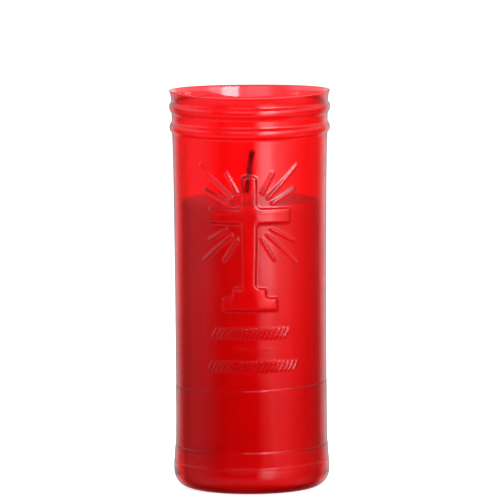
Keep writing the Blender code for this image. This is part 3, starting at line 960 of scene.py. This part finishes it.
def wax_material():
    material, nodes = new_material("candle_wax_cast")
    pos = nodes.position()
    cloud = nodes.noise(pos, scale=70.0, detail=4.0, roughness=0.6)
    bloom = nodes.noise(pos, scale=400.0, detail=3.0, roughness=0.6)
    clouded = nodes.ramp(cloud, span=(0.3, 0.7))
    base = nodes.mix(clouded, start=(0.625, 0.575, 0.490), end=(0.585, 0.530, 0.440))
    bloomed = nodes.ramp(bloom, span=(0.55, 0.8), to=(0.0, 0.35))
    base = nodes.mix(bloomed, start=base, end=(0.66, 0.63, 0.57))
    pits = nodes.ramp(nodes.cells(pos, scale=420.0), span=(0.0, 0.22))
    swell = nodes.noise(pos, scale=120.0, detail=3.0)
    normal = nodes.bump(pits, strength=0.25, distance=0.00025)
    normal = nodes.bump(swell, strength=0.25, distance=0.0006, normal=normal)
    nodes.surface(nodes.principled({
        "Base Color": base,
        "Subsurface Weight": 0.65,
        "Subsurface Radius": (1.0, 0.72, 0.50),
        "Subsurface Scale": 0.0035,
        "IOR": 1.44,
        "Roughness": nodes.ramp(cloud, span=(0.3, 0.7), to=(0.34, 0.52)),
        "Normal": normal,
    }))
    return material


def cotton_material():
    """Charred above, waxed and less dark where it enters the candle, plain cotton inside it."""
    material, nodes = new_material("wick_cotton_charred")
    pos = nodes.position()
    fibre = nodes.noise(pos, scale=2600.0, detail=4.0, roughness=0.65, stretch=(1.0, 1.0, 0.3))
    patch = nodes.noise(pos, scale=420.0, detail=3.0, roughness=0.6)
    # patches shift the borders between the zones up and down
    shift = nodes.times(nodes.maths("SUBTRACT", patch, 0.5), 0.006)
    height = nodes.plus(nodes.xyz(pos)["Z"], shift)
    burnt = nodes.ramp(height, span=(0.1275, 0.1345))
    inside = nodes.ramp(height, span=(0.118, 0.1265), to=(1.0, 0.0))
    black = nodes.mix(fibre, start=(0.030, 0.024, 0.021), end=(0.115, 0.095, 0.080))
    brown = nodes.mix(fibre, start=(0.12, 0.085, 0.055), end=(0.26, 0.20, 0.14))
    cotton = nodes.mix(fibre, start=(0.62, 0.56, 0.46), end=(0.82, 0.78, 0.68))
    colour = nodes.mix(burnt, start=brown, end=black)
    colour = nodes.mix(inside, start=colour, end=cotton)
    ash = nodes.ramp(nodes.noise(pos, scale=1300.0), span=(0.66, 0.80))
    ash = nodes.times(ash, nodes.ramp(height, span=(0.144, 0.1485)))
    nodes.surface(nodes.principled({
        "Base Color": nodes.mix(ash, start=colour, end=(0.42, 0.40, 0.38)),
        "Roughness": 0.92,
        "Sheen Weight": 0.25,
        "Sheen Roughness": 0.5,
        "Normal": nodes.bump(fibre, strength=0.8, distance=0.00012),
    }))
    return material


def thread_material():
    material, nodes = new_material("core_thread_fibre")
    pos = nodes.position()
    fibre = nodes.noise(pos, scale=5200.0, detail=3.0, roughness=0.6, stretch=(1.0, 1.0, 0.35))
    plain = nodes.mix(fibre, start=(0.52, 0.47, 0.38), end=(0.76, 0.72, 0.62))
    burnt = nodes.mix(fibre, start=(0.05, 0.04, 0.035), end=(0.16, 0.13, 0.11))
    above = nodes.ramp(nodes.xyz(pos)["Z"], span=(0.128, 0.136))
    nodes.surface(nodes.principled({
        "Base Color": nodes.mix(above, start=plain, end=burnt),
        "Roughness": 0.88,
        "Normal": nodes.bump(fibre, strength=0.6, distance=0.00008),
    }))
    return material


def tin_material():
    """Tinplate with spangle and rolling grain, and smears of wax."""
    material, nodes = new_material("tinplate_stamped")
    pos = nodes.position()
    spangle = nodes.cells(pos, scale=520.0)
    grain = nodes.noise(pos, scale=700.0, detail=3.0, roughness=0.6, stretch=(1.0, 0.08, 1.0))
    tone = nodes.plus(nodes.times(spangle, 0.5), nodes.times(grain, 0.5))
    toned = nodes.ramp(tone, span=(0.2, 0.6))
    base = nodes.mix(toned, start=(0.64, 0.63, 0.60), end=(0.74, 0.735, 0.71))
    smear = nodes.noise(pos, scale=240.0, detail=3.0, roughness=0.6)
    smear = nodes.ramp(smear, span=(0.56, 0.70))
    base = nodes.mix(nodes.times(smear, 0.35), start=base, end=(0.82, 0.78, 0.70))
    nodes.surface(nodes.principled({
        "Base Color": base,
        "Metallic": nodes.less(smear, share=0.5),
        "Roughness": nodes.ramp(tone, span=(0.2, 0.7), to=(0.24, 0.42)),
        "Normal": nodes.bump(grain, strength=0.2, distance=0.00006),
    }))
    return material


# =====================================================================================
# the pieces: builder, material, what it rides on, CAD piece it replaces, material slot
# =====================================================================================
PIECES = (
    (build_shell, red_plastic, "container", "container_shell", "red_clear_plastic"),
    (build_wax, wax_material, "candle", "wax_candle", "wax"),
    (build_braid, cotton_material, "candle", "wick_sheath", "wick_cotton"),
    (build_core, thread_material, "candle", "wick_core", "core_thread"),
    (build_sustainer, tin_material, "candle", "wick_sustainer", "tinplate"),
)
for build, make_material, carrier, cad_piece, slot in PIECES:
    piece = build(make_material())
    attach(piece, carrier)
    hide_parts(cad_piece)

# =====================================================================================
# floor
# =====================================================================================
scene = bpy.context.scene
scene.view_settings.view_transform = "Standard"
scene.view_settings.look = "None"
scene.view_settings.exposure = 0.0
scene.view_settings.gamma = 1.0


def floor_material():
    """White paper that glows a little to the camera only."""
    material, nodes = new_material("studio_floor_white")
    diffuse = nodes.add("ShaderNodeBsdfDiffuse", {"Color": (0.80, 0.80, 0.80)}).outputs[0]
    paper = nodes.noise(nodes.position(), scale=3.0)
    colour = nodes.mix(paper, start=WHITE, end=(0.985, 0.985, 0.985))
    glow = nodes.add("ShaderNodeEmission", {"Strength": 0.80, "Color": colour}).outputs[0]
    both = nodes.add("ShaderNodeAddShader", {0: diffuse, 1: glow}).outputs[0]
    camera_ray = nodes.add("ShaderNodeLightPath").outputs["Is Camera Ray"]
    nodes.surface(nodes.mix_shader(camera_ray, diffuse, both))
    return material


def build_floor(half=14.0, z=-0.0002):
    mesh = bpy.data.meshes.new("studio_floor")
    square = [(-half, -half, z), (half, -half, z), (half, half, z), (-half, half, z)]
    mesh.from_pydata(square, [], [(0, 1, 2, 3)])
    floor = bpy.data.objects.new("studio_floor", mesh)
    scene.collection.objects.link(floor)
    floor.visible_glossy = False
    floor.visible_transmission = False
    mesh.materials.append(floor_material())


build_floor()

# =====================================================================================
# surround, which turns with the camera: a white backdrop behind the object, dark towards
# the camera, with a tall soft box to the right
# =====================================================================================
AMBIENT = 0.35
THROUGH = 1.28           # backdrop as seen directly and through the walls
BRIGHTEST = 8.0

# mirrored brightness: (azimuth in degrees, 0 towards the camera and + to the right, value)
# level with the camera's look
LEVEL = (
    (-180, 0.45), (-166, 0.45), (-156, 0.75), (-143, 0.50), (-135, 0.20), (-126, 0.13),
    (-112, 0.13), (-106, 0.23), (-92, 0.29), (-80, 0.34), (-68, 0.30), (-62, 0.20),
    (-52, 0.10), (-43, 0.01), (6, 0.01), (9, 0.35), (13, 1.6), (17, 3.0), (31, 3.6),
    (35, 2.0), (40, 1.3), (47, 0.95), (55, 0.66), (65, 0.43), (72, 0.26), (82, 0.16),
    (95, 0.08), (118, 0.09), (127, 0.18), (137, 0.55), (152, 1.0), (168, 0.5),
)
# higher up
RAISED = (
    (-180, 0.6), (-150, 0.75), (-140, 0.60), (-120, 0.60), (-105, 0.9), (-78, 1.0),
    (-64, 0.5), (-50, 0.05), (-36, 0.3), (-26, 1.1), (-2, 1.1), (8, 0.7), (15, 0.9),
    (18.5, 8.0), (40, 8.0), (44, 3.0), (59, 2.4), (75, 0.8), (138, 0.6), (150, 1.0),
    (180, 0.8),
)


def studio_directions(nodes):
    """Upward part, azimuth and elevation of a ray, the last two relative to the camera."""
    vertical = (0.0, 0.0, 1.0)
    ray = nodes.add("ShaderNodeTexCoord").outputs["Generated"]
    look = nodes.add(
        "ShaderNodeVectorTransform", {0: vertical},
        vector_type="VECTOR", convert_from="CAMERA", convert_to="WORLD")
    look = nodes.vector("NORMALIZE", look.outputs[0])
    level = nodes.vector("MULTIPLY", look, (1.0, 1.0, 0.0))
    right = nodes.vector("CROSS_PRODUCT", level, vertical)
    toward_camera = nodes.times(nodes.dot(ray, level), -1.0)
    azimuth = nodes.maths("ARCTAN2", nodes.dot(ray, right), toward_camera)
    azimuth = nodes.maths("DEGREES", azimuth)
    pitch = nodes.maths("DEGREES", nodes.maths("ARCSINE", nodes.dot(look, vertical)))
    up = nodes.dot(ray, vertical)
    elevation = nodes.maths("DEGREES", nodes.maths("ARCSINE", up))
    return up, azimuth, nodes.maths("SUBTRACT", elevation, pitch)


def mirrored_light(nodes, azimuth, elevation, behind):
    """What the object mirrors."""
    turned = nodes.ramp(azimuth, span=(-180, 180))
    level, raised = (
        nodes.curve(turned, [((a + 180) / 360, v) for a, v in stops], scale=BRIGHTEST)
        for stops in (LEVEL, RAISED))
    rise = nodes.smooth(elevation, span=(-1.0, 15.0))
    light = nodes.plus(level, nodes.times(rise, nodes.maths("SUBTRACT", raised, level)))
    # the table in front of the object is in half shadow, the sweep behind it is not;
    # straight below all is dark
    sweep = nodes.times(behind, nodes.smooth(elevation, span=(-28.0, -12.0)))
    above_table = nodes.highest(nodes.smooth(elevation, span=(-11.0, -2.0)), sweep)
    table = nodes.smooth(elevation, span=(-50.0, -30.0), to=(0.06, 0.40))
    table = nodes.times(table, nodes.less(behind, share=0.85))
    light = nodes.plus(
        nodes.times(light, above_table), nodes.times(nodes.less(above_table), table))
    over = nodes.smooth(elevation, span=(33.0, 48.0))
    return nodes.plus(nodes.times(light, nodes.less(over)), nodes.times(over, 0.25))


def light_through(nodes, aside, elevation):
    """The white backdrop where a ray runs on nearly straight, the dim room where it is bent."""
    ahead = nodes.times(
        nodes.smooth(aside, span=(122.0, 146.0)),
        nodes.times(
            nodes.smooth(elevation, span=(-40.0, -26.0)),
            nodes.smooth(elevation, span=(30.0, 60.0), to=(1.0, 0.6))))
    room = nodes.highest(
        nodes.smooth(elevation, span=(2.0, 14.0), to=(0.25, 0.70)),
        nodes.smooth(elevation, span=(-30.0, -16.0), to=(0.50, 0.25)))
    return nodes.times(nodes.highest(ahead, room), THROUGH)


def build_world():
    world = bpy.data.worlds.new("studio")
    scene.world = world
    nodes = Nodes(world)
    world.cycles.sampling_method = "NONE"
    up, azimuth, elevation = studio_directions(nodes)
    aside = nodes.maths("ABSOLUTE", azimuth)
    behind = nodes.smooth(aside, span=(85.0, 120.0))

    path = nodes.add("ShaderNodeLightPath").outputs
    through, camera_ray = path["Is Transmission Ray"], path["Is Camera Ray"]
    glossy = nodes.times(path["Is Glossy Ray"], nodes.less(through))
    rest = nodes.less(nodes.highest(glossy, nodes.highest(through, camera_ray)))
    ambient = nodes.times(nodes.plus(nodes.times(up, 0.6), 1.0), AMBIENT)
    strength = nodes.plus(
        nodes.times(glossy, mirrored_light(nodes, azimuth, elevation, behind)),
        nodes.times(through, light_through(nodes, aside, elevation)),
        nodes.times(camera_ray, THROUGH),
        nodes.times(rest, ambient),
    )
    # daylight from the left is a little cooler than the soft box on the right
    to_right = nodes.smooth(azimuth, span=(0.0, 24.0))
    cool = nodes.mix(to_right, start=(0.99, 0.98, 1.24), end=(1.0, 0.98, 1.08))
    cool = nodes.mix(behind, start=cool, end=WHITE)
    colour = nodes.mix(glossy, start=WHITE, end=cool)
    background = nodes.add("ShaderNodeBackground", {"Strength": strength, "Color": colour})
    nodes.add("ShaderNodeOutputWorld", {0: background.outputs[0]})


build_world()

# =====================================================================================
# lights and camera
# =====================================================================================


def aimed(place, target):
    return (Vector(target) - Vector(place)).to_track_quat("-Z", "Y")


def area_light(name, place, target, size, power):
    """A lamp that lights the object but is not itself seen or mirrored."""
    data = bpy.data.lights.new(name, "AREA")
    data.shape = "RECTANGLE"
    data.size, data.size_y = size
    data.energy = power
    lamp = bpy.data.objects.new(name, data)
    scene.collection.objects.link(lamp)
    lamp.location = place
    lamp.rotation_euler = aimed(place, target).to_euler()
    lamp.visible_glossy = False
    lamp.visible_transmission = False
    lamp.visible_camera = False


area_light("key_right", place=(0.95, -1.50, 0.75), target=(0, 0, 0.09), size=(0.45, 1.1), power=35.5)
area_light("fill_left", place=(-1.5, -0.9, 0.7), target=(0, 0, 0.09), size=(0.8, 1.0), power=9.0)
area_light(
    "front_high", place=(0.01, -0.30, 0.36), target=(-0.01, 0, 0.10), size=(0.28, 0.10), power=0.76)
area_light("top_soft", place=(0.0, 0.05, 0.90), target=(0, 0, 0.10), size=(0.50, 0.40), power=1.1)


def build_camera(place, target, roll):
    data = bpy.data.cameras.new("camera")
    data.sensor_width = 36.0
    data.lens = 492.8
    data.clip_start = 0.05
    data.clip_end = 60.0
    camera = bpy.data.objects.new("camera", data)
    scene.collection.objects.link(camera)
    camera.location = place
    look = aimed(camera.location, target).to_matrix().to_4x4()
    camera.rotation_euler = (look @ Matrix.Rotation(math.radians(roll), 4, "Z")).to_euler()
    scene.camera = camera


build_camera(place=(0.0, -3.0, 0.435), target=(-0.0002, 0.0, 0.1048), roll=-0.36)
